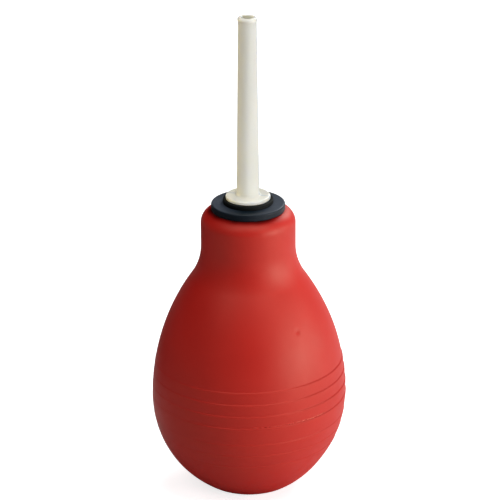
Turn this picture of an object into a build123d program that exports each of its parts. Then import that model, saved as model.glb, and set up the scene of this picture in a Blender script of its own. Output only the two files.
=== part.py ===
from build123d import *

"""Dust blower bulb: a rubber squeeze bulb, a screw-in nozzle and two check valves.

Air comes in through the valve in the foot, and leaves through the valve in the neck collar and the nozzle.
Sizes are millimetres. +Z runs up the bulb's axis, and the origin is the middle of the flat foot.
Each function listed in PIECES makes one piece, and its name is the piece's file name.
"""

import os
from math import asin, cos, sin, sqrt

# ---- Bulb, outside -------------------------------------------------------------------------------
EQUATOR_Z = 36.0  # height of the widest point
BELLY_R = 35.55  # radius there, before the grip rings
SHOULDER_ARC_R = 80.0  # side arc above the equator
LOWER_ARC_R = 41.0  # side arc below the equator
NECK_R = 17.2
NECK_BLEND_R = 22.0  # hollow arc between shoulder and neck
NECK_TOP_Z = 108.0
NECK_ROUND_R = 5.0  # rounding of the neck's top edge
FOOT_ROUND_R = 1.2
WALL = 3.0

# A grip ring is a ledge that steps outwards, and a side that tapers back in to the next ring's ledge.
# Each group is (height of its top ring, pitch, rings, step).
HAND_RINGS = (50.5, 4.5, 4, 0.45)
FOOT_RINGS = (30.2, 4.9, 3, 0.28)
LEDGE_DROP = 0.15  # how far a ledge falls over its own step

# ---- Bulb, inside --------------------------------------------------------------------------------
FLOOR_Z = 4.5  # inside floor
NECK_GRIP_BOTTOM_Z = 95.0  # the thick part of the neck that grips the collar ends here
NECK_CONE_BOTTOM_Z = 90.0  # and has thinned to the plain wall here
BOSS_R = 10.5  # thick ring of rubber round the intake valve
BOSS_TOP_Z = 7.0
BOSS_ROUND_R = 0.8
RUBBER_GAP = 0.03  # radial gap between the rubber and a plug pushed into it

# ---- Neck collar ---------------------------------------------------------------------------------
FLANGE_R = 13.4
FLANGE_T = 2.5
FLANGE_TOP_ROUND_R = 0.55
FLANGE_BOTTOM_ROUND_R = 0.25
COLLAR_TOP_Z = NECK_TOP_Z + FLANGE_T
PLUG_R = 10.6
PLUG_BOTTOM_Z = 95.5
PLUG_CHAMFER = 0.8
PLUG_WALL = 1.7
PLUG_BARB_STEP = 0.8
PLUG_BARB_L = 3.0
PLUG_BARB_TOPS = (104.5, 100.2)
NOSE_R = 7.2  # tube inside the plug that holds the outlet valve
NOSE_ROUND_R = 0.6
NOSE_BOTTOM_Z = 87.5
CORE_TOP_Z = 106.0  # top of the hollow between plug and nose

# ---- Screw thread: right-hand, one start ---------------------------------------------------------
PITCH = 2.5
THREAD_CORE_R = 4.1
THREAD_CREST_R = 5.0
THREAD_ROOT_HALF = 0.75  # half width of the ridge at its root
THREAD_CREST_HALF = 0.35
THREAD_SINK = 0.1  # how deep the ridge's root is buried in the core
THREAD_GAP = 0.15
RELIEF_BOTTOM_Z = 99.6  # plain ring below the collar's thread
RELIEF_H = 1.0
THREAD_START_Z = RELIEF_BOTTOM_Z - PITCH / 2  # both threads lie on the helix that starts here
THREAD_TURNS = 6

# ---- Washer and nozzle ---------------------------------------------------------------------------
WASHER_R = 9.1
WASHER_T = 1.6
WASHER_ROUND_R = 0.25
NOZZLE_FLANGE_R = 8.1
NOZZLE_FLANGE_T = 1.5
NOZZLE_FLANGE_TOP_ROUND_R = 0.7
NOZZLE_FLANGE_BOTTOM_ROUND_R = 0.35
NOZZLE_BASE_R = 4.1
NOZZLE_FILLET_R = 0.9
NOZZLE_TIP_R = 3.35  # just below the lip
TIP_Z = 180.6
LIP_STEP = 0.2  # how far the tip's rounded lip stands out of the tube
LIP_RISE = 0.5  # length of the slope up to it
LIP_L = 1.7
LIP_EDGE_R = 0.6
TIP_ROUND_R = 0.9
TIP_BORE_R = 2.1
TIP_BORE_L = 12.0
MOUTH_ROUND_R = 0.4
SPIGOT_L = 9.9  # how far the spigot reaches below the collar's top
SPIGOT_BORE_R = 2.5
RIDGE_LEAD_IN = 0.5  # plain length at each end of the spigot's ridge
RIDGE_TAPER = 1.1

# ---- Outlet valve, in the collar's nose ----------------------------------------------------------
SHOULDER_BOTTOM_Z = 98.4  # the spring pushes up against this
SHOULDER_HOLE_R = 2.0
CHAMBER_R = 4.4
SEAT_R = 5.6
SEAT_TOP_Z = 91.0
SEAT_BOTTOM_Z = 87.9
SEAT_HOLE_R = 2.0
SEAT_MOUTH_R = 3.6  # the ball's 45 degree cone is this wide at the top
SEAT_ROUND_R = 0.3
BALL_R = 3.0
SPRING_R = 2.25
SPRING_WIRE_R = 0.2
SPRING_COILS = 4.0

# ---- Intake valve, in the foot -------------------------------------------------------------------
INTAKE_FLANGE_R = 9.4
INTAKE_ROUND_R = 0.3
INTAKE_BOTTOM_Z = 0.4
INTAKE_FLANGE_TOP_Z = 1.8
SHANK_R = 6.4
INTAKE_BARB_STEP = 0.9
INTAKE_BARB_TOP_Z = 9.8
INTAKE_TOP_Z = 10.4
INTAKE_TOP_R = 6.2
FILTER_POCKET_R = 5.5
WEB_BOTTOM_Z = 4.2  # wall between the filter pocket and the disc chamber
WEB_TOP_Z = 5.4
INLET_R = 2.0
SEAT_RING_R = 2.7  # raised ring that the disc closes on
SEAT_RING_H = 0.3
DISC_CHAMBER_R = 4.8
DISC_R = 3.9
DISC_T = 0.8
DISC_ROUND_R = 0.2
DISC_LIFT = 1.2
CROWN_R = 5.2
CROWN_BOTTOM_Z = 8.8
CROWN_T = 1.1
CROWN_RING_WALL = 0.95
CROWN_POST_R = 1.2
CROWN_SPOKE_W = 1.0
CROWN_SPOKES = 3
GRILLE_BOTTOM_Z = 0.7
GRILLE_T = 1.1
GRILLE_ROUND_R = 0.2
GRILLE_BEAD = 0.2  # snap bead round the grille's edge
GRILLE_BEAD_HALF = 0.35
GRILLE_HOLE_R = 0.65
GRILLE_HOLES = 8
GRILLE_HOLE_CIRCLE_R = 3.3

CLEAR = 0.03  # gap between two hard pieces that stay together
TOUCH = 0.01  # gap where a closed valve's pieces meet
PAST = 1.0  # how far a cut runs past a face


def turned(*corners):
    """A solid of revolution about Z, from the corners of its outline.

    Each corner is (radius, height) or (radius, height, rounding).
    """
    points = [corner[:2] for corner in corners]
    roundings = [corner[2] if len(corner) > 2 else 0 for corner in corners]
    return revolve(Plane.XZ * make_face(FilletPolyline(*points, radius=roundings, close=True)), Axis.Z)


def rod(radius, bottom, top):
    """A cylinder on the axis, from bottom to top."""
    return Pos(0, 0, bottom) * Cylinder(radius, top - bottom, align=(Align.CENTER, Align.CENTER, Align.MIN))


# ---- Bulb ----------------------------------------------------------------------------------------
def belly_r(z):
    """The bulb's outer radius below the neck blend, without the grip rings."""
    arc = SHOULDER_ARC_R if z > EQUATOR_Z else LOWER_ARC_R
    return BELLY_R - arc + sqrt(arc**2 - (z - EQUATOR_Z) ** 2)


def belly_arc(bottom, top):
    """Adds the bulb's plain side from bottom to top to the outline."""
    middle = (bottom + top) / 2
    ThreePointArc((belly_r(bottom), bottom), (belly_r(middle), middle), (belly_r(top), top))


def ringed_side(top, pitch, rings, step):
    """Adds one group of grip rings to the outline, going down from the top ring."""
    for ring in range(rings):
        z = top - ring * pitch
        end = z - pitch
        ledge = (belly_r(z) + step, z - LEDGE_DROP)
        middle = (ledge[1] + end) / 2
        Line((belly_r(z), z), ledge)
        ThreePointArc(ledge, (belly_r(middle) + step / 2, middle), (belly_r(end), end))


def rings_end(top, pitch, rings, step):
    """Height where a group of grip rings ends."""
    return top - pitch * rings


def neck_blend(inset=0.0):
    """The hollow arc between shoulder and neck: its centre, the angle it spans and its lower end.

    inset moves the shoulder's side, and so the arc's lower end, inwards by the wall's thickness.
    """
    shoulder_centre_r = BELLY_R - SHOULDER_ARC_R
    centre_r = NECK_R + NECK_BLEND_R
    reach = SHOULDER_ARC_R + NECK_BLEND_R
    rise = sqrt(reach**2 - (centre_r - shoulder_centre_r) ** 2)
    angle = asin(rise / reach)
    side = SHOULDER_ARC_R - inset
    lower_end = (shoulder_centre_r + side * cos(angle), EQUATOR_Z + side * sin(angle))
    return centre_r, EQUATOR_Z + rise, angle, lower_end


def bulb_outside():
    """The closed outer form: foot, ringed belly, shoulder, neck and rounded top edge."""
    centre_r, centre_z, angle, blend_start = neck_blend()
    blend_middle = (centre_r - NECK_BLEND_R * cos(angle / 2), centre_z - NECK_BLEND_R * sin(angle / 2))
    round_z = NECK_TOP_Z - NECK_ROUND_R
    with BuildPart() as form:
        with BuildSketch(Plane.XZ):
            with BuildLine():
                Line((0, 0), (belly_r(0), 0))
                belly_arc(0, rings_end(*FOOT_RINGS))
                ringed_side(*FOOT_RINGS)
                belly_arc(FOOT_RINGS[0], rings_end(*HAND_RINGS))
                ringed_side(*HAND_RINGS)
                belly_arc(HAND_RINGS[0], blend_start[1])
                ThreePointArc(blend_start, blend_middle, (NECK_R, centre_z))
                Line((NECK_R, centre_z), (NECK_R, round_z))
                CenterArc((NECK_R - NECK_ROUND_R, round_z), NECK_ROUND_R, 0, 90)
                Polyline((NECK_R - NECK_ROUND_R, NECK_TOP_Z), (0, NECK_TOP_Z), (0, 0))
            make_face()
        revolve(axis=Axis.Z)
        fillet(form.faces().sort_by(Axis.Z)[0].edges(), FOOT_ROUND_R)
    return form.part


def bulb_cavity():
    """The air space: the outer form less the wall, closed in by a cone below the neck's grip."""
    centre_r, centre_z, _, blend_start = neck_blend(WALL)

    def side(arc, z):
        inner_arc = arc - WALL
        return (BELLY_R - arc + sqrt(inner_arc**2 - (z - EQUATOR_Z) ** 2), z)

    def blend(z):
        return (centre_r - sqrt((NECK_BLEND_R + WALL) ** 2 - (z - centre_z) ** 2), z)

    lower_middle = side(LOWER_ARC_R, (FLOOR_Z + EQUATOR_Z) / 2)
    upper_middle = side(SHOULDER_ARC_R, (EQUATOR_Z + blend_start[1]) / 2)
    blend_middle = blend((blend_start[1] + NECK_CONE_BOTTOM_Z) / 2)
    equator = (BELLY_R - WALL, EQUATOR_Z)
    cone_top = (PLUG_R + RUBBER_GAP, NECK_GRIP_BOTTOM_Z)
    with BuildPart() as space:
        with BuildSketch(Plane.XZ):
            with BuildLine():
                Line((0, FLOOR_Z), side(LOWER_ARC_R, FLOOR_Z))
                ThreePointArc(side(LOWER_ARC_R, FLOOR_Z), lower_middle, equator)
                ThreePointArc(equator, upper_middle, blend_start)
                ThreePointArc(blend_start, blend_middle, blend(NECK_CONE_BOTTOM_Z))
                Polyline(blend(NECK_CONE_BOTTOM_Z), cone_top, (0, NECK_GRIP_BOTTOM_Z), (0, FLOOR_Z))
            make_face()
        revolve(axis=Axis.Z)
    return space.part


def bulb():
    """The squeeze bulb, with the holes that the collar and the intake valve are pushed into."""
    boss = turned(
        (0, FLOOR_Z - PAST),
        (BOSS_R, FLOOR_Z - PAST),
        (BOSS_R, BOSS_TOP_Z, BOSS_ROUND_R),
        (0, BOSS_TOP_Z),
    )
    neck_hole = collar_plug(RUBBER_GAP) + rod(PLUG_R + RUBBER_GAP, NECK_GRIP_BOTTOM_Z, PLUG_BOTTOM_Z + PAST)
    foot_hole = intake_plug(RUBBER_GAP) + rod(INTAKE_FLANGE_R + RUBBER_GAP, -PAST, INTAKE_BOTTOM_Z + PAST)
    return bulb_outside() - bulb_cavity() + boss - neck_hole - foot_hole


# ---- Collar and nozzle ---------------------------------------------------------------------------
def collar_plug(gap=0.0):
    """The barbed plug that the neck grips. gap makes it fatter, for the hole in the rubber."""
    radius = PLUG_R + gap
    side = [(radius, NECK_TOP_Z)]
    for top in PLUG_BARB_TOPS:
        side += [(radius, top), (radius + PLUG_BARB_STEP, top), (radius, top - PLUG_BARB_L)]
    end = [(radius, PLUG_BOTTOM_Z + PLUG_CHAMFER), (radius - PLUG_CHAMFER, PLUG_BOTTOM_Z), (0, PLUG_BOTTOM_Z)]
    return turned((0, NECK_TOP_Z), *side, *end)


def thread_turns(gap, limit):
    """The turns of a right-hand helical ridge, each cut to limit. gap fattens it into its groove."""
    root = THREAD_CORE_R - THREAD_SINK
    crest = THREAD_CREST_R + gap
    section = Polyline(
        (root, -THREAD_ROOT_HALF - gap),
        (crest, -THREAD_CREST_HALF - gap),
        (crest, THREAD_CREST_HALF + gap),
        (root, THREAD_ROOT_HALF + gap),
        close=True,
    )
    turn = sweep(Plane.XZ * make_face(section), path=Helix(PITCH, PITCH, THREAD_CORE_R), is_frenet=True)
    return [limit & (Pos(0, 0, THREAD_START_Z + PITCH * number) * turn) for number in range(THREAD_TURNS)]


def neck_collar():
    """The flanged, barbed collar: a threaded hole above, and the outlet valve's chamber in its nose."""
    hole_r = THREAD_CORE_R + THREAD_GAP
    thread_bottom = RELIEF_BOTTOM_Z + RELIEF_H
    flange = turned(
        (0, NECK_TOP_Z),
        (FLANGE_R, NECK_TOP_Z, FLANGE_BOTTOM_ROUND_R),
        (FLANGE_R, COLLAR_TOP_Z, FLANGE_TOP_ROUND_R),
        (0, COLLAR_TOP_Z),
    )
    nose = turned(
        (0, NOSE_BOTTOM_Z),
        (NOSE_R, NOSE_BOTTOM_Z, NOSE_ROUND_R),
        (NOSE_R, NECK_TOP_Z),
        (0, NECK_TOP_Z),
    )
    body = flange + collar_plug()
    body -= rod(PLUG_R - PLUG_WALL, PLUG_BOTTOM_Z - PAST, CORE_TOP_Z)
    body += nose
    body -= rod(hole_r, thread_bottom, COLLAR_TOP_Z + PAST)
    body -= rod(THREAD_CREST_R + 2 * THREAD_GAP, RELIEF_BOTTOM_Z, thread_bottom)
    body -= rod(SHOULDER_HOLE_R, SHOULDER_BOTTOM_Z - PAST, RELIEF_BOTTOM_Z + PAST)
    body -= rod(CHAMBER_R, SEAT_TOP_Z - PAST, SHOULDER_BOTTOM_Z)
    body -= rod(SEAT_R + CLEAR, NOSE_BOTTOM_Z - PAST, SEAT_TOP_Z)
    threaded = rod(THREAD_CREST_R + PAST, RELIEF_BOTTOM_Z + RELIEF_H / 4, COLLAR_TOP_Z + PAST / 2)
    for turn in thread_turns(THREAD_GAP, threaded):
        body -= turn
    return body


def nozzle_washer():
    """The rubber washer between the collar and the nozzle's flange."""
    top = COLLAR_TOP_Z + WASHER_T
    inner = THREAD_CREST_R + THREAD_GAP
    return turned(
        (inner, COLLAR_TOP_Z),
        (WASHER_R, COLLAR_TOP_Z, WASHER_ROUND_R),
        (WASHER_R, top, WASHER_ROUND_R),
        (inner, top),
    )


def nozzle():
    """The blowing nozzle: threaded spigot, flange, tapered tube, and an open tip with a rounded lip."""
    flange_bottom = COLLAR_TOP_Z + WASHER_T
    flange_top = flange_bottom + NOZZLE_FLANGE_T
    spigot_bottom = COLLAR_TOP_Z - SPIGOT_L
    lip_bottom = TIP_Z - LIP_L
    body = turned(
        (0, spigot_bottom),
        (THREAD_CORE_R, spigot_bottom),
        (THREAD_CORE_R, flange_bottom),
        (NOZZLE_FLANGE_R, flange_bottom, NOZZLE_FLANGE_BOTTOM_ROUND_R),
        (NOZZLE_FLANGE_R, flange_top, NOZZLE_FLANGE_TOP_ROUND_R),
        (NOZZLE_BASE_R, flange_top, NOZZLE_FILLET_R),
        (NOZZLE_TIP_R, lip_bottom, LIP_EDGE_R),
        (NOZZLE_TIP_R + LIP_STEP, lip_bottom + LIP_RISE, LIP_EDGE_R),
        (NOZZLE_TIP_R + LIP_STEP, TIP_Z, TIP_ROUND_R),
        (0, TIP_Z),
    )
    # The ridge rises from the core at the spigot's end, and sinks back into it before the flange.
    ridge_bottom = spigot_bottom + RIDGE_LEAD_IN
    ridge_top = flange_bottom - RIDGE_LEAD_IN
    threaded = turned(
        (0, ridge_bottom),
        (THREAD_CORE_R, ridge_bottom),
        (THREAD_CREST_R + THREAD_SINK, ridge_bottom + RIDGE_TAPER),
        (THREAD_CREST_R + THREAD_SINK, ridge_top - RIDGE_TAPER),
        (THREAD_CORE_R, ridge_top),
        (0, ridge_top),
    )
    for turn in thread_turns(0, threaded):
        body += turn
    bore_bottom = TIP_Z - TIP_BORE_L
    body -= turned(
        (0, spigot_bottom - PAST),
        (SPIGOT_BORE_R, spigot_bottom - PAST),
        (TIP_BORE_R, bore_bottom),
        (TIP_BORE_R, TIP_Z + PAST),
        (0, TIP_Z + PAST),
    )
    mouth = body.faces().sort_by(Axis.Z)[-1].edges().sort_by(SortBy.RADIUS)[0]
    return fillet(mouth, MOUTH_ROUND_R)


# ---- Outlet valve --------------------------------------------------------------------------------
def ball_z():
    """Height of the ball's centre when it rests on its cone."""
    cone_apex = SEAT_TOP_Z - SEAT_MOUTH_R
    return cone_apex + BALL_R * sqrt(2) + TOUCH


def outlet_valve_seat():
    """The ring pressed into the collar's nose, with the cone that the ball closes."""
    return turned(
        (SEAT_HOLE_R, SEAT_BOTTOM_Z),
        (SEAT_R, SEAT_BOTTOM_Z, SEAT_ROUND_R),
        (SEAT_R, SEAT_TOP_Z),
        (SEAT_MOUTH_R, SEAT_TOP_Z),
        (SEAT_HOLE_R, SEAT_TOP_Z - SEAT_MOUTH_R + SEAT_HOLE_R),
    )


def outlet_valve_ball():
    return Pos(0, 0, ball_z()) * Sphere(BALL_R)


def outlet_valve_spring():
    """The light spring that holds the ball shut whichever way up the blower is held."""
    # The wire's lowest turn lies on the ball, whose centre is one ball radius plus one wire radius away.
    contact = sqrt((BALL_R + SPRING_WIRE_R) ** 2 - SPRING_R**2)
    bottom = ball_z() + contact + TOUCH
    top = SHOULDER_BOTTOM_Z - SPRING_WIRE_R - TOUCH
    path = Pos(0, 0, bottom) * Helix((top - bottom) / SPRING_COILS, top - bottom, SPRING_R)
    wire = Plane(origin=path @ 0, z_dir=path % 0) * Circle(SPRING_WIRE_R)
    return sweep(wire, path=path, is_frenet=True)


# ---- Intake valve --------------------------------------------------------------------------------
def intake_plug(gap=0.0):
    """The intake valve's flange, shank and barb. gap makes it fatter, for the hole in the rubber."""
    shank = SHANK_R + gap
    barb_bottom = BOSS_TOP_Z + RUBBER_GAP
    return turned(
        (0, INTAKE_BOTTOM_Z),
        (INTAKE_FLANGE_R + gap, INTAKE_BOTTOM_Z, INTAKE_ROUND_R),
        (INTAKE_FLANGE_R + gap, INTAKE_FLANGE_TOP_Z),
        (shank, INTAKE_FLANGE_TOP_Z),
        (shank, barb_bottom),
        (shank + INTAKE_BARB_STEP, barb_bottom),
        (INTAKE_TOP_R, INTAKE_BARB_TOP_Z),
        (INTAKE_TOP_R, INTAKE_TOP_Z),
        (0, INTAKE_TOP_Z),
    )


def intake_valve_body():
    """The barbed plug in the foot: filter pocket below, disc chamber above, and the inlet between them."""
    body = intake_plug()
    body -= rod(FILTER_POCKET_R, INTAKE_BOTTOM_Z - PAST, WEB_BOTTOM_Z)
    body -= rod(DISC_CHAMBER_R, WEB_TOP_Z, CROWN_BOTTOM_Z)
    body -= rod(CROWN_R, CROWN_BOTTOM_Z, INTAKE_TOP_Z + PAST)
    body += rod(SEAT_RING_R, WEB_BOTTOM_Z, WEB_TOP_Z + SEAT_RING_H)
    body -= rod(INLET_R, WEB_BOTTOM_Z - PAST, WEB_TOP_Z + PAST)
    return body - grille_bead(FILTER_POCKET_R, GRILLE_BEAD_HALF + CLEAR, GRILLE_BEAD)


def grille_bead(radius, half, step):
    """A ring of triangular section on the given radius: the grille's snap bead, or the groove it sits in."""
    middle = GRILLE_BOTTOM_Z + GRILLE_T / 2
    return turned(
        (radius - step, middle - half),
        (radius, middle - half),
        (radius + step, middle),
        (radius, middle + half),
        (radius - step, middle + half),
    )


def intake_valve_disc():
    """The loose rubber disc that lifts off its seat to let air in."""
    bottom = WEB_TOP_Z + SEAT_RING_H + TOUCH
    return turned(
        (0, bottom),
        (DISC_R, bottom, DISC_ROUND_R),
        (DISC_R, bottom + DISC_T, DISC_ROUND_R),
        (0, bottom + DISC_T),
    )


def intake_valve_crown():
    """The spoked ring over the disc. Its middle post stops the disc at the end of its lift."""
    outer = CROWN_R - CLEAR
    inner = outer - CROWN_RING_WALL
    top = CROWN_BOTTOM_Z + CROWN_T
    crown = rod(outer, CROWN_BOTTOM_Z, top) - rod(inner, CROWN_BOTTOM_Z, top)
    spoke_l = (outer + inner) / 2
    spoke = Pos(spoke_l / 2, 0, (CROWN_BOTTOM_Z + top) / 2) * Box(spoke_l, CROWN_SPOKE_W, CROWN_T)
    for number in range(CROWN_SPOKES):
        crown += Rot(0, 0, 360 * number / CROWN_SPOKES) * spoke
    post_bottom = WEB_TOP_Z + SEAT_RING_H + DISC_T + DISC_LIFT + 3 * TOUCH
    return crown + rod(CROWN_POST_R, post_bottom, top)


def intake_filter():
    """The foam pad that keeps dust out of the bulb."""
    return rod(FILTER_POCKET_R - CLEAR, GRILLE_BOTTOM_Z + GRILLE_T + CLEAR, WEB_BOTTOM_Z - CLEAR)


def intake_grille():
    """The snap-in cover that holds the foam pad, with a ring of air holes."""
    radius = FILTER_POCKET_R - CLEAR
    top = GRILLE_BOTTOM_Z + GRILLE_T
    cover = turned(
        (0, GRILLE_BOTTOM_Z),
        (radius, GRILLE_BOTTOM_Z, GRILLE_ROUND_R),
        (radius, top),
        (0, top),
    )
    cover += grille_bead(radius, GRILLE_BEAD_HALF - CLEAR, GRILLE_BEAD - CLEAR)
    hole = rod(GRILLE_HOLE_R, GRILLE_BOTTOM_Z - PAST, top + PAST)
    cover -= hole
    for number in range(GRILLE_HOLES):
        cover -= Rot(0, 0, 360 * number / GRILLE_HOLES) * Pos(GRILLE_HOLE_CIRCLE_R, 0, 0) * hole
    return cover


PIECES = [
    bulb,
    neck_collar,
    nozzle_washer,
    nozzle,
    outlet_valve_seat,
    outlet_valve_ball,
    outlet_valve_spring,
    intake_valve_body,
    intake_valve_disc,
    intake_valve_crown,
    intake_filter,
    intake_grille,
]

os.makedirs("parts", exist_ok=True)
for piece in PIECES:
    export_step(piece(), f"parts/{piece.__name__}.step")
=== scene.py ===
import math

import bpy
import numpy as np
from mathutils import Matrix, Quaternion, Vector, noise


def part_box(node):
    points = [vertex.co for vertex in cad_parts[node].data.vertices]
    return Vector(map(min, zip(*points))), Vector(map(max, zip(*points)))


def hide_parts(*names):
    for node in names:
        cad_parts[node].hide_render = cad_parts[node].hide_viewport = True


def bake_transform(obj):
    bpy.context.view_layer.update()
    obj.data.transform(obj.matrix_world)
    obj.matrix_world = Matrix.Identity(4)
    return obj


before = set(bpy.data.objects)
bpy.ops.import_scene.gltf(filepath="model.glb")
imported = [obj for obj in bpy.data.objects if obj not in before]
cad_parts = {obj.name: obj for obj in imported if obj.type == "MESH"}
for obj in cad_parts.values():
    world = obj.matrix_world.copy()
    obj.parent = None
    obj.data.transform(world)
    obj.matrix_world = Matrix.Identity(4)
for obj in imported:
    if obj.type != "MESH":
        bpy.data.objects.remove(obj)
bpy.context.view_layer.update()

# Dust blower bulb, standing on a white studio floor.
# The bulb and the outlet valve's spring are redrawn here, as they stand at rest; in the blower both change
# shape as it moves.
# The other pieces are the frame's own, with materials added.
# Shapes are in mm, and the studio is in metres. A place round the bulb is given in degrees from +X, so -90 is
# the front, which faces the camera.

MM = 0.001

# ---- Bulb, outside: the same curves as the CAD bulb ----------------------------------------------
NECK_TOP_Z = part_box("bulb")[1].z / MM
EQUATOR_Z = 36.0  # height of the widest point
BELLY_R = 35.55  # radius there, before the grip rings
SHOULDER_ARC_R = 80.0  # side arc above the equator
LOWER_ARC_R = 41.0  # side arc below the equator
NECK_R = 17.2
NECK_BLEND_R = 22.0  # hollow arc between shoulder and neck
NECK_ROUND_R = 5.0  # rounding of the neck's top edge
FOOT_ROUND_L = 2.2  # the foot's edge rounds up from this far inside its corner
FOOT_ROUND_H = 1.5  # and meets the side at this height
FOOT_CORNER = 0.1  # how far inside the corner the rounding aims
FOOT_POCKET_R = 9.43

# The blend is the arc that touches both the shoulder's arc and the neck.
BLEND_CENTRE_R = NECK_R + NECK_BLEND_R
BLEND_REACH = SHOULDER_ARC_R + NECK_BLEND_R
BLEND_RISE = math.sqrt(BLEND_REACH**2 - (BLEND_CENTRE_R - (BELLY_R - SHOULDER_ARC_R)) ** 2)
BLEND_CENTRE_Z = EQUATOR_Z + BLEND_RISE
BLEND_ANGLE = math.asin(BLEND_RISE / BLEND_REACH)
BLEND_START_Z = EQUATOR_Z + SHOULDER_ARC_R * math.sin(BLEND_ANGLE)

# ---- Bulb, inside --------------------------------------------------------------------------------
WALL = 3.0
FLOOR_Z = 4.5  # inside floor
NECK_GRIP_BOTTOM_Z = 95.0
NECK_CONE_BOTTOM_Z = 90.0
NECK_HOLE_R = 10.63
NECK_TOP_ROW_R = 11.4  # a row of points on the neck's top, under the collar's flange
NECK_HOLE_EDGE = (0.1, 0.05)  # width and drop of the small bevel at the hole
BARB_TOPS = (104.5, 100.2)
BARB_STEP = 0.8
BARB_L = 3.0
BOSS_R = 10.5
BOSS_TOP_Z = 7.0
BOSS_BEVEL = 0.6
FOOT_HOLE_R = 6.43
FOOT_POCKET_Z = 1.8

# ---- Grip rings: the CAD's rings, with the fainter steps of the photo ----------------------------
# Each group is (height of its top ring, pitch, rings, step).
HAND_RINGS = (50.5, 4.5, 4, 0.27)
FOOT_RINGS = (30.2, 4.9, 3, 0.14)
# Each ring is (height of its ledge, how far it steps out, length of the taper below it).
RINGS = [
    (top - pitch * number, step, pitch)
    for top, pitch, count, step in (HAND_RINGS, FOOT_RINGS)
    for number in range(count)
]
LEDGE_SOFT = 0.24  # half height over which a ledge rounds off
RING_STRAIGHT = 0.75  # the taper is this much straight line, and the rest of it an S-curve
RING_TILT = math.tan(math.radians(0.8))
RING_WEAKEST = 0.2  # how much of the steps is left on the worn side

# ---- Marks of moulding and use, and painted light and shade --------------------------------------
# A side is (its middle in degrees, full within so many degrees of it, gone beyond so many).
WORN_RING_SIDE = (-175, 35, 75)
# painted highlight on the ledges' lips, on the front
LIP_HIGHLIGHT_SIDE = (-95, 15, 45)
# painted shade at the ledges, on the right side
CREASE_SIDE = (-12, 35, 60)
# painted contact shadow under the collar's flange, fading out on the lit right side
NECK_SHADE_SIDE = (-115, 55, 100)
FLASH_SIDE = (297, 20, 28)
TORN_SIDE = (309, 6, 12)

# A roughness round the bulb is (strength, how fine it is, seed).
# roughness of that painted shadow
NECK_SHADE_ROUGH = (0.25, 4, 8.8)
TRIM_ROUGH = (1.0, 9, 1.7)
DASH_COARSE = (1.1, 30, 5.1)
DASH_FINE = (0.9, 75, 2.3)
PIT_ROUGH = (1.0, 60, 7.7)

UNEVEN = 0.10  # slow unevenness of the ringed belly
UNEVEN_DETAIL = 1.3  # how fine it is round the bulb
UNEVEN_H = 26.0  # and its size up the bulb
ZONE_BOTTOM_H = 14.0  # the unevenness and the rings' tilt grow over this height from the foot
ZONE_TOP_Z = 55.0  # start to go here
ZONE_TOP_H = 25.0  # and are gone this much higher

LIP_HIGHLIGHT = 0.12  # painted highlight on a ledge's lip, for each mm of step
CREASE_SHADE = 0.9  # painted shade at a ledge, for each mm of step
CREASE_HALF = 0.28  # half height of that painted shade

# Flash left along the mould's parting line: proud on one side, trimmed everywhere else.
PARTING_Z = 37.15
FLASH_HALF = 0.16
FLASH_H = 0.38
FLASH_TRIMMED = 0.04
DASH_LEVEL = 0.35  # raises the noise, so that more of the dashes stand out
FLASH_WEAR = 0.5  # paleness for each mm of flash
TORN_WEAR = 2.0  # and how much is added where it is torn
PIT_LEVEL = 0.15  # noise above this is a pit
PIT_DIRT = 1.3

DIMPLE_ANGLE = 308.0
DIMPLE_Z = 69.0
DIMPLE_R = 0.9
DIMPLE_DEPTH = 0.3

COLLAR_EDGE_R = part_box("neck_collar")[1].x / MM
NECK_SHADE_REACH = 1.8  # how far the painted shadow spreads from the collar's edge

# ---- How finely the meshes are drawn -------------------------------------------------------------
SEGMENTS = 540  # round the bulb
ROW_GAP = 0.7  # between rows on the plain side
ROW_GAP_MIN = 0.03
INNER_ROW_GAP = 2.0
FOOT_ROWS = 5
FOOT_ROUND_ROWS = 8
DETAIL_ROWS = 17  # across a ledge or the dimple
FLASH_ROWS = 15
BLEND_ROWS = 24
NECK_ROWS = 10
NECK_ROUND_ROWS = 20
INNER_BLEND_ROWS = 12
SHARP_ANGLE = math.radians(50)


def smooth(t):
    """0 below 0, 1 above 1, and an S-curve between."""
    t = min(1.0, max(0.0, t))
    return t * t * (3 - 2 * t)


def bell(t):
    """1 at 0, falling to nearly 0 at 2 on both sides."""
    return math.exp(-t * t)


def new_object(name, data):
    """An object in the scene that shows the mesh, light or camera."""
    obj = bpy.data.objects.new(name, data)
    bpy.context.scene.collection.objects.link(obj)
    return obj


# ---- Bulb ----------------------------------------------------------------------------------------
def belly_r(z, inset=0.0):
    """Radius of the plain side at height z, moved inwards by inset."""
    arc = SHOULDER_ARC_R if z > EQUATOR_Z else LOWER_ARC_R
    return BELLY_R - arc + math.sqrt(max((arc - inset) ** 2 - (z - EQUATOR_Z) ** 2, 0))


def ring_r(z):
    """How far the grip rings stand out of the plain belly at height z."""
    out = 0.0
    for top, step, taper in RINGS:
        rise = 1 - smooth((z - top + LEDGE_SOFT) / (2 * LEDGE_SOFT) + 0.5)
        left = 1 - (top - z) / taper if z < top else 1.0
        out += step * rise * (RING_STRAIGHT * max(0.0, left) + (1 - RING_STRAIGHT) * smooth(left))
    return out


def bent(start, corner, end, t):
    """The point at t, from 0 to 1, on the curve from start to end that leans towards corner."""
    return tuple((1 - t) ** 2 * a + 2 * t * (1 - t) * b + t**2 * c for a, b, c in zip(start, corner, end))


def foot_rows():
    """(radius, height) from the foot pocket's edge to the foot's rounded edge."""
    foot_r = belly_r(0)
    start = (foot_r - FOOT_ROUND_L, 0.0)
    corner = (foot_r - FOOT_CORNER, 0.0)
    end = (belly_r(FOOT_ROUND_H), FOOT_ROUND_H)
    points = [(FOOT_POCKET_R, 0.0)]
    points += [(r, 0.0) for r in np.linspace(FOOT_POCKET_R + 0.5, start[0], FOOT_ROWS)]
    points += [bent(start, corner, end, t) for t in np.linspace(0.12, 0.95, FOOT_ROUND_ROWS)]
    return points


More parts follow.
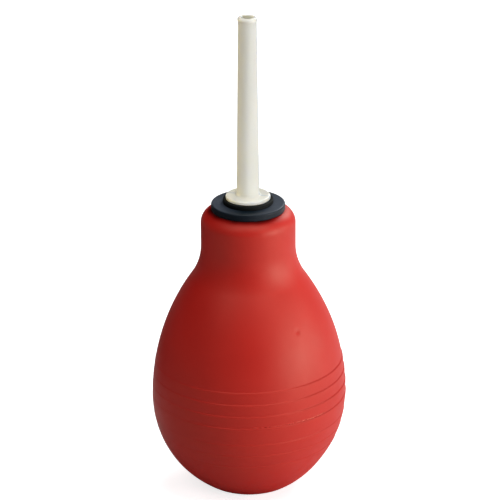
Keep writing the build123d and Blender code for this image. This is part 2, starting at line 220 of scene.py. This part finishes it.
def side_rows():
    """(radius, height) up the ringed belly and the shoulder, with closer rows at each ledge and mark."""
    details = [(top, 4 * LEDGE_SOFT, DETAIL_ROWS) for top, _, _ in RINGS]
    details.append((PARTING_Z, 3 * FLASH_HALF, FLASH_ROWS))
    details.append((DIMPLE_Z, 3 * DIMPLE_R, DETAIL_ROWS))
    heights = list(np.arange(FOOT_ROUND_H, BLEND_START_Z, ROW_GAP))
    for middle, reach, rows in details:
        heights += list(np.linspace(middle - reach, middle + reach, rows))
    heights.sort()
    kept = [heights[0]]
    for z in heights[1:]:
        if z - kept[-1] > ROW_GAP_MIN:
            kept.append(z)
    return [(belly_r(z) + ring_r(z), z) for z in kept if z < BLEND_START_Z - 0.2]


def neck_rows():
    """(radius, height) up the blend and the neck, round its edge, and in to the neck hole."""
    points = []
    for a in np.linspace(BLEND_ANGLE, 0, BLEND_ROWS):
        r = BLEND_CENTRE_R - NECK_BLEND_R * math.cos(a)
        z = BLEND_CENTRE_Z - NECK_BLEND_R * math.sin(a)
        points.append((r, z))
    round_r = NECK_R - NECK_ROUND_R
    round_z = NECK_TOP_Z - NECK_ROUND_R
    points += [(NECK_R, z) for z in np.linspace(BLEND_CENTRE_Z + 0.8, round_z - 0.5, NECK_ROWS)]
    for a in np.radians(np.linspace(0, 88, NECK_ROUND_ROWS)):
        points.append((round_r + NECK_ROUND_R * math.cos(a), round_z + NECK_ROUND_R * math.sin(a)))
    width, drop = NECK_HOLE_EDGE
    points.append((NECK_TOP_ROW_R, NECK_TOP_Z))
    points += [(NECK_HOLE_R + width, NECK_TOP_Z), (NECK_HOLE_R, NECK_TOP_Z - drop)]
    return points


def inner_rows():
    """(radius, height) from the neck hole, down the inside, and out through the foot."""
    points = []
    for top in BARB_TOPS:
        points += [(NECK_HOLE_R, top), (NECK_HOLE_R + BARB_STEP, top), (NECK_HOLE_R, top - BARB_L)]
    points.append((NECK_HOLE_R, NECK_GRIP_BOTTOM_Z))
    blend_end_z = EQUATOR_Z + (SHOULDER_ARC_R - WALL) * math.sin(BLEND_ANGLE)
    for z in np.linspace(NECK_CONE_BOTTOM_Z, blend_end_z, INNER_BLEND_ROWS):
        r = BLEND_CENTRE_R - math.sqrt((NECK_BLEND_R + WALL) ** 2 - (z - BLEND_CENTRE_Z) ** 2)
        points.append((r, z))
    points += [(belly_r(z, WALL), z) for z in np.arange(blend_end_z - INNER_ROW_GAP, FLOOR_Z, -INNER_ROW_GAP)]
    points += [(belly_r(FLOOR_Z, WALL), FLOOR_Z), (BOSS_R, FLOOR_Z)]
    points += [(BOSS_R, BOSS_TOP_Z - BOSS_BEVEL), (BOSS_R - BOSS_BEVEL, BOSS_TOP_Z)]
    points += [(FOOT_HOLE_R, BOSS_TOP_Z), (FOOT_HOLE_R, FOOT_POCKET_Z), (FOOT_POCKET_R, FOOT_POCKET_Z)]
    return points


def turned_mesh(name, profile, segments, shape):
    """A closed ring of quads: the closed profile turned about Z.

    shape(number, radius, angle, height) gives each point's own radius, height, paleness (wear and painted
    highlight) and darkness (dirt and painted shade).
    """
    verts = []
    wear_and_highlight = []
    dirt_and_shade = []
    for k in range(segments):
        angle = 2 * math.pi * k / segments
        for i, (r, z) in enumerate(profile):
            own_r, own_z, worn_and_highlit, darkening = shape(i, r, angle, z)
            verts.append((own_r * math.cos(angle) * MM, own_r * math.sin(angle) * MM, own_z * MM))
            wear_and_highlight.append(worn_and_highlit)
            dirt_and_shade.append(darkening)
    n = len(profile)
    faces = []
    for k in range(segments):
        k2 = (k + 1) % segments
        for i in range(n):
            i2 = (i + 1) % n
            faces.append((k * n + i, k2 * n + i, k2 * n + i2, k * n + i2))
    mesh = bpy.data.meshes.new(name)
    mesh.from_pydata(verts, [], faces)
    mesh.update()
    mesh.attributes.new("wear_and_highlight", "FLOAT", "POINT").data.foreach_set("value", wear_and_highlight)
    mesh.attributes.new("dirt_and_shade", "FLOAT", "POINT").data.foreach_set("value", dirt_and_shade)
    obj = new_object(name, mesh)
    mesh.shade_smooth()
    mesh.set_sharp_from_angle(angle=SHARP_ANGLE)
    return obj


def facing(angle, middle, full, none):
    """1 within full degrees of the middle, fading to 0 at none degrees from it."""
    away = abs((math.degrees(angle) - middle + 180) % 360 - 180)
    return 1 - smooth((away - full) / (none - full))


def rough(angle, strength, detail, seed):
    """Noise round the axis, from -strength to strength."""
    return strength * noise.noise(Vector((math.cos(angle) * detail, math.sin(angle) * detail, seed)))


def uneven(angle, z):
    """The slow unevenness of the bulb's side, in mm."""
    x = math.cos(angle) * UNEVEN_DETAIL
    y = math.sin(angle) * UNEVEN_DETAIL
    return UNEVEN * noise.noise(Vector((x, y, z / UNEVEN_H)))


def ring_zone(z):
    """1 in the ringed belly, fading to 0 at the foot and below the neck."""
    return smooth(z / ZONE_BOTTOM_H) * (1 - smooth((z - ZONE_TOP_Z) / ZONE_TOP_H))


def flash_height(angle):
    """Height of the rough flash along the mould's parting line, in mm."""
    dashes = max(0.0, DASH_LEVEL + rough(angle, *DASH_COARSE) + rough(angle, *DASH_FINE))
    return FLASH_TRIMMED * (1 + rough(angle, *TRIM_ROUGH)) + FLASH_H * facing(angle, *FLASH_SIDE) * dashes


def flash_dirt(angle):
    """Darkness of the pits in the proud stretch of the flash."""
    return PIT_DIRT * max(0.0, rough(angle, *PIT_ROUGH) - PIT_LEVEL) * facing(angle, *FLASH_SIDE)


def dimple_depth(angle, z):
    """Depth of the small air-bubble mark on the shoulder, in mm."""
    along = (math.degrees(angle) % 360 - DIMPLE_ANGLE) * math.radians(1) * belly_r(DIMPLE_Z)
    return DIMPLE_DEPTH * bell(math.hypot(along, z - DIMPLE_Z) / DIMPLE_R)


def neck_contact_shade(r, angle, z):
    """Darkness of the painted shadow in the crease where the neck meets the collar's flange."""
    from_collar = math.hypot(r - COLLAR_EDGE_R, z - NECK_TOP_Z) / NECK_SHADE_REACH
    return bell(from_collar) * (1 + rough(angle, *NECK_SHADE_ROUGH)) * facing(angle, *NECK_SHADE_SIDE)


outside = foot_rows() + side_rows() + neck_rows()
ring_steps = [ring_r(z) for _, z in outside]


def bulb_shape(i, r, angle, z):
    """Radius, height, paleness and darkness of a point of the bulb, with the marks of a used rubber moulding,
    painted highlights and painted shade.
    """
    if i >= len(outside):
        return r, z, 0.0, 0.0
    zone = ring_zone(z)
    ring_loss = (1 - RING_WEAKEST) * facing(angle, *WORN_RING_SIDE)
    own_r = r + uneven(angle, z) * zone - ring_steps[i] * ring_loss
    own_z = z + RING_TILT * r * math.cos(angle) * zone
    worn_and_highlit = 0.0
    # painted contact shadow under the collar's flange
    darkening = neck_contact_shade(r, angle, z)
    for top, step, _ in RINGS:
        from_lip = z - top + LEDGE_SOFT
        # painted highlight on each ledge's lip, on the front
        worn_and_highlit += LIP_HIGHLIGHT * step * bell(from_lip / LEDGE_SOFT) * facing(angle, *LIP_HIGHLIGHT_SIDE)
        # painted shade at each ledge, on the right
        darkening += CREASE_SHADE * step * bell(from_lip / CREASE_HALF) * facing(angle, *CREASE_SIDE)
    if abs(z - PARTING_Z) < 3 * FLASH_HALF:
        across = bell((z - PARTING_Z) / FLASH_HALF)
        flash = flash_height(angle) * across
        own_r += flash
        worn_and_highlit += (FLASH_WEAR + TORN_WEAR * facing(angle, *TORN_SIDE)) * flash
        darkening += flash_dirt(angle) * across
    if abs(z - DIMPLE_Z) < 3 * DIMPLE_R:
        own_r -= dimple_depth(angle, z)
    return own_r, own_z, min(1.0, max(0.0, worn_and_highlit)), min(1.0, darkening)


bulb = turned_mesh("bulb_skin", outside + inner_rows(), SEGMENTS, bulb_shape)


# ---- Outlet valve spring: the CAD's coil at rest; in the valve it packs together as the ball lifts ---
SPRING_LOW, SPRING_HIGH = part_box("outlet_valve_spring")
SPRING_WIRE_R = 0.2
SPRING_COILS = 4
SPRING_STEPS = 48  # per coil
SPRING_SIDES = 10
SPRING_R = SPRING_HIGH.x / MM - SPRING_WIRE_R
SPRING_BOTTOM_Z = SPRING_LOW.z / MM + SPRING_WIRE_R
SPRING_TOP_Z = SPRING_HIGH.z / MM - SPRING_WIRE_R


def coil_mesh(name):
    """A right-handed coil of round wire, starting at +X, with a cap on each end."""
    verts = []
    steps = SPRING_COILS * SPRING_STEPS
    climb = (SPRING_TOP_Z - SPRING_BOTTOM_Z) / (2 * math.pi * SPRING_COILS)
    for k in range(steps + 1):
        angle = 2 * math.pi * k / SPRING_STEPS
        out = Vector((math.cos(angle), math.sin(angle), 0))
        along = Vector((-math.sin(angle) * SPRING_R, math.cos(angle) * SPRING_R, climb)).normalized()
        up = out.cross(along)
        middle = out * SPRING_R + Vector((0, 0, SPRING_BOTTOM_Z + climb * angle))
        for side in range(SPRING_SIDES):
            turn = 2 * math.pi * side / SPRING_SIDES
            verts.append((middle + SPRING_WIRE_R * (math.cos(turn) * out + math.sin(turn) * up)) * MM)
    faces = []
    for k in range(steps):
        for side in range(SPRING_SIDES):
            a = k * SPRING_SIDES + side
            b = k * SPRING_SIDES + (side + 1) % SPRING_SIDES
            faces.append((a, b, b + SPRING_SIDES, a + SPRING_SIDES))
    faces.append(tuple(reversed(range(SPRING_SIDES))))
    faces.append(tuple(range(steps * SPRING_SIDES, (steps + 1) * SPRING_SIDES)))
    mesh = bpy.data.meshes.new(name)
    mesh.from_pydata(verts, [], faces)
    obj = new_object(name, mesh)
    mesh.shade_smooth()
    mesh.set_sharp_from_angle(angle=SHARP_ANGLE)
    return obj


spring = coil_mesh("spring_coil")


# ---- Materials -----------------------------------------------------------------------------------
EDGE_R = 0.35  # a bend within this many mm counts as an edge
EDGE_BEND = (0.85, 0.99)  # agreement of the rounded and the plain normal: a full edge, and none
EDGE_WEAR = 0.7  # how worn a full edge is
MOTTLE_SCALE = 60.0
SHEEN_SCALE = 180.0
DUST_AND_LIGHT_TILT = (0.6, 0.98)  # upward part of the normal where the dust and painted top light start, and where they are full
REFLECTION_SPREAD = (0.002, 0.010)  # metres from the middle where the top is its first colour, and its second, with a painted reflection
CLEAN_SPECULAR = 0.58
# the painted shade and the dirt dull the specular too
DARKENED_SPECULAR = 0.10
DARKENED_LEVEL = 0.6  # dirt and painted shade from which the surface is fully dull


def material(name):
    """A new material with a Principled shader and texture coordinates."""
    mat = bpy.data.materials.new(name)
    mat.use_nodes = True
    tree = mat.node_tree
    tree.nodes.clear()
    out = tree.nodes.new("ShaderNodeOutputMaterial")
    shader = tree.nodes.new("ShaderNodeBsdfPrincipled")
    tree.links.new(shader.outputs["BSDF"], out.inputs["Surface"])
    tree.nodes.new("ShaderNodeTexCoord")
    return mat


def inputs(mat):
    """The inputs of the material's shader."""
    return mat.node_tree.nodes["Principled BSDF"].inputs


def place(mat):
    """Where each point is on the object, in metres."""
    return mat.node_tree.nodes["Texture Coordinate"].outputs["Object"]


def noise_node(tree, source, scale, detail=4.0, roughness=0.5):
    node = tree.nodes.new("ShaderNodeTexNoise")
    node.inputs["Scale"].default_value = scale
    node.inputs["Detail"].default_value = detail
    node.inputs["Roughness"].default_value = roughness
    tree.links.new(source, node.inputs["Vector"])
    return node.outputs["Fac"]


def remap(tree, value, low, high, from_low=0.3, from_high=0.7):
    """Stretches from_low..from_high to low..high, and holds the ends. The defaults suit a noise node."""
    node = tree.nodes.new("ShaderNodeMapRange")
    node.inputs["From Min"].default_value = from_low
    node.inputs["From Max"].default_value = from_high
    node.inputs["To Min"].default_value = low
    node.inputs["To Max"].default_value = high
    tree.links.new(value, node.inputs["Value"])
    return node.outputs["Result"]


def mix_colour(tree, factor, a, b):
    """Colour a where the factor is 0, and b where it is 1. Each is a colour or another node's output."""
    node = tree.nodes.new("ShaderNodeMix")
    node.data_type = "RGBA"
    tree.links.new(factor, node.inputs["Factor"])
    for key, value in (("A", a), ("B", b)):
        socket = [s for s in node.inputs if s.name == key and s.type == "RGBA"][0]
        if isinstance(value, tuple):
            socket.default_value = (*value, 1.0)
        else:
            tree.links.new(value, socket)
    return [s for s in node.outputs if s.type == "RGBA"][0]


def bump(tree, height, strength, distance_mm):
    node = tree.nodes.new("ShaderNodeBump")
    node.inputs["Strength"].default_value = strength
    node.inputs["Distance"].default_value = distance_mm * MM
    tree.links.new(height, node.inputs["Height"])
    return node.outputs["Normal"]


def part_of(tree, vector, axis):
    """The X, Y or Z of a vector."""
    node = tree.nodes.new("ShaderNodeSeparateXYZ")
    tree.links.new(vector, node.inputs["Vector"])
    return node.outputs[axis]


def absolute(tree, value):
    """The value without its sign."""
    node = tree.nodes.new("ShaderNodeMath")
    node.operation = "ABSOLUTE"
    tree.links.new(value, node.inputs[0])
    return node.outputs["Value"]


def edge_mask(tree):
    """0 where the surface is smooth, rising to EDGE_WEAR where it bends sharply within EDGE_R."""
    rounded = tree.nodes.new("ShaderNodeBevel")
    rounded.samples = 6
    rounded.inputs["Radius"].default_value = EDGE_R * MM
    plain = tree.nodes.new("ShaderNodeNewGeometry")
    dot = tree.nodes.new("ShaderNodeVectorMath")
    dot.operation = "DOT_PRODUCT"
    tree.links.new(rounded.outputs["Normal"], dot.inputs[0])
    tree.links.new(plain.outputs["Normal"], dot.inputs[1])
    return remap(tree, dot.outputs["Value"], EDGE_WEAR, 0.0, *EDGE_BEND)


def mesh_value(tree, name):
    """A value stored on each vertex of the mesh."""
    node = tree.nodes.new("ShaderNodeAttribute")
    node.attribute_name = name
    return node.outputs["Fac"]


def tops_dust_and_light(mat, colour, middle_dust_and_light, outer_dust_and_reflection):
    """Lays dust and painted top light over the colour where the surface faces up: one colour in the middle,
    one at the sides, where it is a painted reflection too.
    """
    tree = mat.node_tree
    normal = tree.nodes.new("ShaderNodeNewGeometry").outputs["Normal"]
    upward = remap(tree, part_of(tree, normal, "Z"), 0.0, 1.0, *DUST_AND_LIGHT_TILT)
    outward = remap(tree, absolute(tree, part_of(tree, place(mat), "X")), 0.0, 1.0, *REFLECTION_SPREAD)
    return mix_colour(tree, upward, colour, mix_colour(tree, outward, middle_dust_and_light, outer_dust_and_reflection))


def moulded(name, base, dark, roughness, spread, grain_mm, grain_depth_mm, worn_and_highlit=None, dust_and_light=None, dirt_and_shade=None):
    """A moulded rubber or plastic: mottled colour, uneven sheen, fine grain, paler worn edges, and tops with
    dust and painted light.

    The last argument is the colour of dirt and painted shade, for a mesh whose vertices hold a mask of wear
    and painted highlight, and a mask of dirt and painted shade. Such a mesh is worn and has painted
    highlights where its first mask says, and any other at its edges.
    """
    mat = material(name)
    tree = mat.node_tree
    mottle = noise_node(tree, place(mat), MOTTLE_SCALE)
    colour = mix_colour(tree, remap(tree, mottle, 0.0, 1.0), dark, base)
    if worn_and_highlit:
        # on the bulb: worn flash and painted highlights on the ledges' lips; on other pieces: worn edges
        wear_and_highlight_mask = mesh_value(tree, "wear_and_highlight") if dirt_and_shade else edge_mask(tree)
        colour = mix_colour(tree, wear_and_highlight_mask, colour, worn_and_highlit)
    if dust_and_light:
        colour = tops_dust_and_light(mat, colour, *dust_and_light)
    if dirt_and_shade:
        dark_mask = mesh_value(tree, "dirt_and_shade")
        # darker where the flash's pits hold dirt, and painted shade under the collar and at the ledges
        colour = mix_colour(tree, dark_mask, colour, dirt_and_shade)
        dulled = remap(tree, dark_mask, CLEAN_SPECULAR, DARKENED_SPECULAR, 0.0, DARKENED_LEVEL)
        tree.links.new(dulled, inputs(mat)["Specular IOR Level"])
    tree.links.new(colour, inputs(mat)["Base Color"])
    sheen = noise_node(tree, place(mat), SHEEN_SCALE)
    uneven_sheen = remap(tree, sheen, roughness - spread, roughness + spread)
    tree.links.new(uneven_sheen, inputs(mat)["Roughness"])
    grain = noise_node(tree, place(mat), 1.0 / (grain_mm * MM), detail=5.0, roughness=0.6)
    tree.links.new(bump(tree, grain, 0.5, grain_depth_mm), inputs(mat)["Normal"])
    return mat


def mould_line(mat, angle, half_mm, line_colour):
    """Draws the mould's parting line down both sides, in the plane at angle degrees round from +X."""
    tree = mat.node_tree
    across = tree.nodes.new("ShaderNodeVectorMath")
    across.operation = "DOT_PRODUCT"
    across.inputs[1].default_value = (-math.sin(math.radians(angle)), math.cos(math.radians(angle)), 0)
    tree.links.new(place(mat), across.inputs[0])
    away = absolute(tree, across.outputs["Value"])
    on_line = remap(tree, away, 1.0, 0.0, 0.5 * half_mm * MM, half_mm * MM)
    plain = inputs(mat)["Base Color"].links[0].from_socket
    tree.links.new(mix_colour(tree, on_line, plain, line_colour), inputs(mat)["Base Color"])


def red_rubber():
    mat = moulded(
        "red_rubber", base=(0.61, 0.0105, 0.0070), dark=(0.58, 0.0095, 0.0065),
        roughness=0.53, spread=0.03, grain_mm=0.9, grain_depth_mm=0.03,
        # the pale colour is for worn flash and painted lip highlights, the dark one for dirt and painted
        # shade
        worn_and_highlit=(0.82, 0.15, 0.10), dirt_and_shade=(0.10, 0.001, 0.001),
    )
    inputs(mat)["Specular Tint"].default_value = (1.0, 0.95, 0.72, 1)
    return mat


def navy_plastic():
    mat = moulded(
        "navy_plastic", base=(0.006, 0.012, 0.020), dark=(0.004, 0.009, 0.015),
        roughness=0.44, spread=0.08, grain_mm=0.5, grain_depth_mm=0.008,
        # the top colours stand for dust and painted top light, and the lighter sides for a painted reflection
        worn_and_highlit=(0.020, 0.026, 0.032), dust_and_light=((0.005, 0.013, 0.021), (0.060, 0.074, 0.098)),
    )
    inputs(mat)["Specular IOR Level"].default_value = 0.25
    return mat


def black_rubber():
    mat = moulded(
        "black_rubber", base=(0.006, 0.007, 0.006), dark=(0.004, 0.005, 0.004),
        roughness=0.7, spread=0.08, grain_mm=0.6, grain_depth_mm=0.02, worn_and_highlit=(0.010, 0.011, 0.010),
    )
    inputs(mat)["Specular IOR Level"].default_value = 0.2
    return mat


def ivory_plastic():
    """The nozzle's plastic, which lets a little light in and shows the mould's parting line."""
    mat = moulded(
        "ivory_plastic", base=(0.83, 0.815, 0.74), dark=(0.81, 0.795, 0.71),
        roughness=0.35, spread=0.05, grain_mm=1.2, grain_depth_mm=0.01,
    )
    mould_line(mat, angle=-14.0, half_mm=0.5, line_colour=(0.60, 0.64, 0.66))
    inputs(mat)["Subsurface Weight"].default_value = 0.5
    inputs(mat)["Subsurface Radius"].default_value = (2.5 * MM, 2.2 * MM, 1.6 * MM)
    inputs(mat)["Subsurface Scale"].default_value = 1.0
    return mat


def white_plastic():
    return moulded(
        "white_plastic", base=(0.72, 0.72, 0.69), dark=(0.66, 0.66, 0.62),
        roughness=0.45, spread=0.06, grain_mm=0.8, grain_depth_mm=0.01,
    )


def polished_steel():
    mat = moulded(
        "polished_steel", base=(0.62, 0.62, 0.63), dark=(0.55, 0.55, 0.56),
        roughness=0.18, spread=0.06, grain_mm=0.3, grain_depth_mm=0.002,
    )
    inputs(mat)["Metallic"].default_value = 1.0
    return mat


def grey_foam():
    return moulded(
        "grey_foam", base=(0.06, 0.06, 0.065), dark=(0.015, 0.015, 0.016),
        roughness=0.95, spread=0.03, grain_mm=0.5, grain_depth_mm=0.3,
    )


rubber = red_rubber()
navy = navy_plastic()
black = black_rubber()
ivory = ivory_plastic()
white = white_plastic()
steel = polished_steel()
foam = grey_foam()

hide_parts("bulb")
bulb.data.materials.append(rubber)
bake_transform(bulb)

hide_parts("outlet_valve_spring")
spring.data.materials.append(steel)
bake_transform(spring)

# ---- The frame's own pieces ----------------------------------------------------------------------
LOOKS = {
    "bulb": rubber,
    "neck_collar": navy,
    "nozzle_washer": black,
    "nozzle": ivory,
    "outlet_valve_seat": white,
    "outlet_valve_ball": steel,
    "outlet_valve_spring": steel,
    "intake_valve_body": navy,
    "intake_valve_disc": black,
    "intake_valve_crown": white,
    "intake_filter": foam,
    "intake_grille": navy,
}
for node, look in LOOKS.items():
    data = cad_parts[node].data
    data.materials.clear()
    data.materials.append(look)


# ---- Stage ---------------------------------------------------------------------------------------
FLOOR_HALF = 6.0
FLOOR_GREY = 0.85  # its grey to the camera
FLOOR_GLOW = 0.80  # and the light it adds for the camera
FLOOR_BOUNCE = 0.82  # its grey to the light that it throws back up
FLOOR_GLOSS = 0.95  # its grey in mirrored light, on the right and behind
FLOOR_GLOSS_LEFT = 0.15  # and on the left in front
GLOSS_EDGE_X = (-0.02, 0.06)  # the two meet between these places
GLOSS_EDGE_Y = (0.0, 0.03)
FLAG = (-0.42, -0.10, 0.02, 0.40)  # left, right, front and back of the black card
FLAG_LIFT = 0.003
FLAG_GREY = 0.01
LIGHT_DISTANCE = 1.3
LIGHT_AIM = Vector((0, 0, 0.08))


def grey(level):
    return (level, level, level)


def floor_material():
    """Pale floor: bright to the camera, and darker to other rays, so that it throws little light up."""
    mat = bpy.data.materials.new("floor_pale")
    mat.use_nodes = True
    tree = mat.node_tree
    tree.nodes.clear()
    seen = tree.nodes.new("ShaderNodeBsdfDiffuse")
    seen.inputs["Color"].default_value = (*grey(FLOOR_GREY), 1)
    glow = tree.nodes.new("ShaderNodeEmission")
    glow.inputs["Color"].default_value = (1, 1, 1, 1)
    glow.inputs["Strength"].default_value = FLOOR_GLOW
    lit = tree.nodes.new("ShaderNodeAddShader")
    tree.links.new(seen.outputs["BSDF"], lit.inputs[0])
    tree.links.new(glow.outputs["Emission"], lit.inputs[1])
    position = tree.nodes.new("ShaderNodeNewGeometry").outputs["Position"]
    bright = tree.nodes.new("ShaderNodeMath")
    bright.operation = "MAXIMUM"
    tree.links.new(remap(tree, part_of(tree, position, "X"), 0.0, 1.0, *GLOSS_EDGE_X), bright.inputs[0])
    tree.links.new(remap(tree, part_of(tree, position, "Y"), 0.0, 1.0, *GLOSS_EDGE_Y), bright.inputs[1])
    glossy = mix_colour(tree, bright.outputs["Value"], grey(FLOOR_GLOSS_LEFT), grey(FLOOR_GLOSS))
    path = tree.nodes.new("ShaderNodeLightPath")
    dim = tree.nodes.new("ShaderNodeBsdfDiffuse")
    mirrored = mix_colour(tree, path.outputs["Is Glossy Ray"], grey(FLOOR_BOUNCE), glossy)
    tree.links.new(mirrored, dim.inputs["Color"])
    mix = tree.nodes.new("ShaderNodeMixShader")
    tree.links.new(path.outputs["Is Camera Ray"], mix.inputs["Fac"])
    tree.links.new(dim.outputs["BSDF"], mix.inputs[1])
    tree.links.new(lit.outputs["Shader"], mix.inputs[2])
    out = tree.nodes.new("ShaderNodeOutputMaterial")
    tree.links.new(mix.outputs["Shader"], out.inputs["Surface"])
    return mat


def sheet(name, left, right, front, back, height):
    """A flat rectangle at the given height."""
    corners = [(left, front), (right, front), (right, back), (left, back)]
    mesh = bpy.data.meshes.new(name)
    mesh.from_pydata([(x, y, height) for x, y in corners], [], [(0, 1, 2, 3)])
    return new_object(name, mesh)


def floor():
    obj = sheet("floor", -FLOOR_HALF, FLOOR_HALF, -FLOOR_HALF, FLOOR_HALF, 0)
    obj.data.materials.append(floor_material())


def flag():
    """A black card on the floor, behind and to the left. The bulb's left edge mirrors it, and goes dark."""
    obj = sheet("flag", *FLAG, FLAG_LIFT)
    mat = material("flag_black")
    inputs(mat)["Base Color"].default_value = (*grey(FLAG_GREY), 1)
    inputs(mat)["Specular IOR Level"].default_value = 0.0
    obj.data.materials.append(mat)
    obj.visible_camera = False
    obj.visible_shadow = False


def softbox(
    name, azimuth, elevation, width, height, power,
    colour=(1, 1, 1), only=None, spared=None, distance=LIGHT_DISTANCE,
):
    """A studio light aimed at the object. Azimuth is degrees round from +X, and -90 is the front.

    only and spared are node names: the light falls on that piece alone, or on everything but it.
    """
    light = bpy.data.lights.new(name, "AREA")
    light.shape = "RECTANGLE"
    light.size = width
    light.size_y = height
    light.energy = power
    light.color = colour
    obj = new_object(name, light)
    turn = math.radians(azimuth)
    lift = math.radians(elevation)
    towards = Vector((math.cos(lift) * math.cos(turn), math.cos(lift) * math.sin(turn), math.sin(lift)))
    obj.location = LIGHT_AIM + distance * towards
    obj.visible_camera = False
    obj.rotation_euler = towards.to_track_quat("Z", "Y").to_euler()
    if only or spared:
        linked = bpy.data.collections.new(name + "_linked")
        linked.objects.link(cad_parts[only or spared])
        linked.collection_objects[0].light_linking.link_state = "INCLUDE" if only else "EXCLUDE"
        obj.light_linking.receiver_collection = linked


def white_backdrop():
    """White to the camera, and it gives no light."""
    world = bpy.data.worlds.new("studio")
    world.use_nodes = True
    backdrop = world.node_tree.nodes["Background"]
    backdrop.inputs["Color"].default_value = (1, 1, 1, 1)
    path = world.node_tree.nodes.new("ShaderNodeLightPath")
    world.node_tree.links.new(path.outputs["Is Camera Ray"], backdrop.inputs["Strength"])
    bpy.context.scene.world = world


floor()
flag()
softbox("key", -30, 6, 0.6, 0.35, 7.0)
softbox("side", 0, 6, 0.6, 0.35, 4.4, spared="nozzle")
softbox("high_front", -45, 58, 0.6, 0.6, 4.6)
softbox("high_fill", -135, 55, 0.6, 0.6, 2.9)
softbox("top", 0, 90, 0.6, 0.6, 3.4)
softbox("rear", 60, 30, 0.6, 0.6, 7.0)
softbox("nozzle_fill", 170, 12, 0.3, 0.6, 6.5, colour=(1.0, 0.82, 0.42), only="nozzle")
softbox("nozzle_front", -90, 8, 0.06, 0.06, 0.0155, only="nozzle", distance=0.08)
white_backdrop()


# ---- Camera: at the photo's viewing angle --------------------------------------------------------
CAMERA_PLACE = (0, -1.114, 0.538)
CAMERA_AIM = Vector((0, 0, 0.091))
CAMERA_ROLL = math.radians(-0.25)
CAMERA_SENSOR = 36
CAMERA_LENS = 6.61 * CAMERA_SENSOR  # the focal length is this many picture widths
CAMERA_SHIFT = (0.0034, 0.0046)  # in picture widths
CAMERA_FAR = 50

camera_data = bpy.data.cameras.new("camera")
camera_data.sensor_width = CAMERA_SENSOR
camera_data.lens = CAMERA_LENS
camera_data.shift_x, camera_data.shift_y = CAMERA_SHIFT
camera_data.clip_end = CAMERA_FAR
camera = new_object("camera", camera_data)
camera.location = CAMERA_PLACE
gaze = (CAMERA_AIM - camera.location).to_track_quat("-Z", "Y")
camera.rotation_euler = (gaze @ Quaternion((0, 0, 1), CAMERA_ROLL)).to_euler()
bpy.context.scene.camera = camera

bpy.context.scene.view_settings.view_transform = "Standard"
